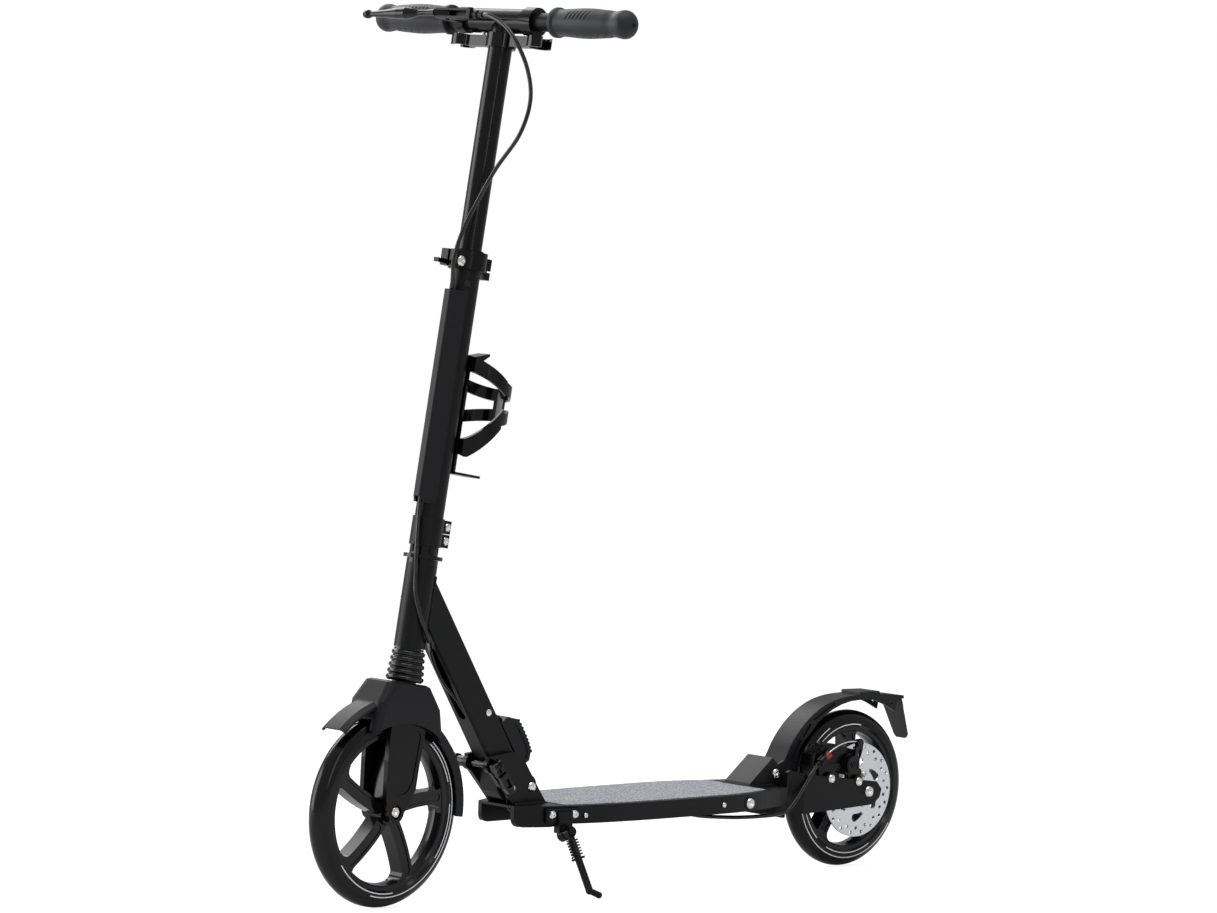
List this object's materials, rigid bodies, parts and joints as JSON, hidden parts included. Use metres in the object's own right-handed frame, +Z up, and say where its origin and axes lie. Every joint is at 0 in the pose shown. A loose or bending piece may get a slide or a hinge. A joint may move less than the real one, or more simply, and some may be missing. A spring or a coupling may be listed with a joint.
{
  "type": "kick scooter",
  "caption": "Folding two-wheel kick scooter with suspension, height-adjustable T-bar, rear disc brake, stomp fender, bottle cage and side stand.",
  "frame": {"origin": "middle of the bounding box in plan, on the ground the wheels and the side stand rest on", "axes": "+X towards the front wheel, +Y to the rider's left, +Z up; the scooter leans a little to its left, on its side stand"},
  "size_m": [1.0004, 0.4156, 1.0747],
  "materials": {
    "black_paint": "smooth satin-gloss black powder coat on aluminium",
    "forged_black": "satin black paint on cast and forged parts",
    "steel": "zinc-plated steel, softly brushed",
    "disc_steel": "ground stainless disc",
    "nylon_black": "moulded black nylon with a fine grain",
    "gloss_black_plastic": "smooth glossy black plastic",
    "tyre_black": "cast polyurethane tyre, smooth satin black",
    "grip_rubber": "soft dark grey-black rubber with fine pattern",
    "flap_rubber": "matte black rubber",
    "griptape_grey": "dark grey abrasive grip tape with sparkling grain",
    "cable_black": "black cable casing, satin",
    "bellows_rubber": "glossy black moulded rubber",
    "pad_steel": "textured black step plate"
  },
  "bodies": {
    "chassis": {"deck_pan": "black_paint", "griptape": "griptape_grey", "deck_rails": "black_paint", "fold_bracket": "forged_black", "fender_bracket": "nylon_black", "deck_bolts": "steel", "clamp_axle": "steel", "stand_bracket": "forged_black", "deck_cable": "cable_black"},
    "clamp_lever": {"clamp_lever": "forged_black"},
    "side_stand": {"stand_leg": "forged_black", "stand_spring": "steel"},
    "swing_arm": {"swing_arm": "black_paint", "rear_axle": "steel", "shock_rod": "steel", "shock_spring": "steel", "calliper_body": "forged_black", "calliper_bolts": "steel", "arm_cable": "cable_black"},
    "rear_wheel": {"rear_tyre": "tyre_black", "rear_rim": "forged_black", "rear_bearings": "steel", "brake_rotor": "disc_steel"},
    "calliper_arm": {"calliper_arm": "forged_black"},
    "fender": {"rear_fender": "nylon_black", "step_pad": "pad_steel", "mud_flap": "flap_rubber", "fender_spring": "steel"},
    "front_frame": {"front_frame": "black_paint", "headset": "forged_black", "down_tube_cable": "cable_black"},
    "release_pedal": {"release_pedal": "nylon_black"},
    "stem": {"steerer": "forged_black", "stem_tube": "black_paint", "stem_bolts": "steel", "cable_cover": "nylon_black", "stem_cable": "cable_black", "height_collar": "forged_black", "bottle_cage": "gloss_black_plastic", "fork_bellows": "bellows_rubber", "fork_spring": "steel"},
    "fork": {"fork": "forged_black", "fork_cover": "nylon_black", "front_axle": "steel"},
    "front_wheel": {"front_tyre": "tyre_black", "front_rim": "forged_black", "front_bearings": "steel"},
    "handlebar": {"handlebar_tee": "black_paint", "grip_clip": "gloss_black_plastic", "bar_cable": "cable_black"},
    "collar_lever": {"collar_lever": "forged_black"},
    "height_button": {"height_button": "forged_black"},
    "left_grip": {"left_grip": "grip_rubber", "left_grip_tube": "black_paint"},
    "right_grip": {"right_grip": "grip_rubber", "right_grip_tube": "black_paint", "lever_housing": "nylon_black"},
    "brake_lever": {"brake_lever": "forged_black"},
    "left_button": {"left_button": "steel"},
    "right_button": {"right_button": "steel"}
  },
  "joints": [
    {"name": "clamp_lever_hinge", "type": "hinge", "parent": "chassis", "child": "clamp_lever", "pos_m": [0.23447, -0.02296, 0.15994], "axis": [0.832, -0.0332, -0.5539], "range_deg": [0, 110]},
    {"name": "side_stand_hinge", "type": "hinge", "parent": "chassis", "child": "side_stand", "pos_m": [0.14947, 0.01224, 0.07869], "axis": [0, 0.9422, 0.335], "range_deg": [0, 72]},
    {"name": "rear_suspension", "type": "hinge", "parent": "chassis", "child": "swing_arm", "pos_m": [-0.15353, -0.05656, 0.10085], "axis": [0, 0.9982, -0.0598], "range_deg": [0, 2.5], "stiffness_Nm_per_rad": 900, "springref_deg": -1.43, "deforming": ["shock_spring"]},
    {"name": "rear_wheel_spin", "type": "hinge", "parent": "swing_arm", "child": "rear_wheel", "pos_m": [-0.39053, -0.05662, 0.09985], "axis": [0, 0.9982, -0.0598], "continuous": true},
    {"name": "calliper_arm_hinge", "type": "hinge", "parent": "swing_arm", "child": "calliper_arm", "pos_m": [-0.35853, -0.00855, 0.13303], "axis": [0, 0.9982, -0.0598], "range_deg": [0, 6.4]},
    {"name": "fender_hinge", "type": "hinge", "parent": "chassis", "child": "fender", "pos_m": [-0.24653, -0.05496, 0.1275], "axis": [0, 0.9982, -0.0598], "range_deg": [-5.5, 0], "stiffness_Nm_per_rad": 5, "springref_deg": 6.88},
    {"name": "fold_hinge", "type": "hinge", "parent": "chassis", "child": "front_frame", "pos_m": [0.16947, -0.05463, 0.13299], "axis": [0, 0.9982, -0.0598], "range_deg": [-81, 0]},
    {"name": "release_pedal_hinge", "type": "hinge", "parent": "front_frame", "child": "release_pedal", "pos_m": [0.23707, -0.04914, 0.22462], "axis": [0, 0.9982, -0.0598], "range_deg": [0, 10], "stiffness_Nm_per_rad": 1, "springref_deg": -8.59},
    {"name": "steering", "type": "hinge", "parent": "front_frame", "child": "stem", "pos_m": [0.39983, -0.0626, 0.00003], "axis": [-0.1495, 0.0592, 0.987], "range_deg": [-44, 36]},
    {"name": "front_suspension", "type": "slide", "parent": "stem", "child": "fork", "axis": [-0.1495, 0.0592, 0.987], "range_m": [0, 0.012], "stiffness_N_per_m": 20000, "springref_m": -0.004, "deforming": ["fork_spring", "fork_bellows"]},
    {"name": "front_wheel_spin", "type": "hinge", "parent": "fork", "child": "front_wheel", "pos_m": [0.38547, -0.05552, 0.11481], "axis": [-0.0673, 0.9953, -0.0698], "continuous": true},
    {"name": "bar_height", "type": "slide", "parent": "stem", "child": "handlebar", "axis": [-0.1495, 0.0592, 0.987], "range_m": [-0.21, 0], "deforming": ["bar_cable"]},
    {"name": "collar_lever_hinge", "type": "hinge", "parent": "stem", "child": "collar_lever", "pos_m": [0.25703, -0.01919, 0.7562], "axis": [-0.0673, 0.9953, -0.0698], "range_deg": [0, 120]},
    {"name": "height_button_push", "type": "slide", "parent": "stem", "child": "height_button", "axis": [-0.5254, -0.8504, -0.0286], "range_m": [0, 0.0025], "stiffness_N_per_m": 300, "springref_m": -0.005},
    {"name": "left_grip_pull", "type": "slide", "parent": "handlebar", "child": "left_grip", "axis": [-0.0673, 0.9953, -0.0698], "range_m": [0, 0.03]},
    {"name": "right_grip_pull", "type": "slide", "parent": "handlebar", "child": "right_grip", "axis": [0.0673, -0.9953, 0.0698], "range_m": [0, 0.03]},
    {"name": "brake_lever_hinge", "type": "hinge", "parent": "right_grip", "child": "brake_lever", "pos_m": [0.28382, -0.05274, 1.05407], "axis": [0.1495, -0.0592, -0.987], "range_deg": [0, 8], "stiffness_Nm_per_rad": 1.2, "springref_deg": -6.88},
    {"name": "left_button_push", "type": "slide", "parent": "handlebar", "child": "left_button", "axis": [0.1495, -0.0592, -0.987], "range_m": [-0.0025, 0], "stiffness_N_per_m": 300, "springref_m": 0.005},
    {"name": "right_button_push", "type": "slide", "parent": "handlebar", "child": "right_button", "axis": [0.1495, -0.0592, -0.987], "range_m": [-0.0025, 0], "stiffness_N_per_m": 300, "springref_m": 0.005}
  ],
  "couplings": [
    {"joint": "calliper_arm_hinge", "follows": "brake_lever_hinge", "ratio": 0.8}
  ]
}
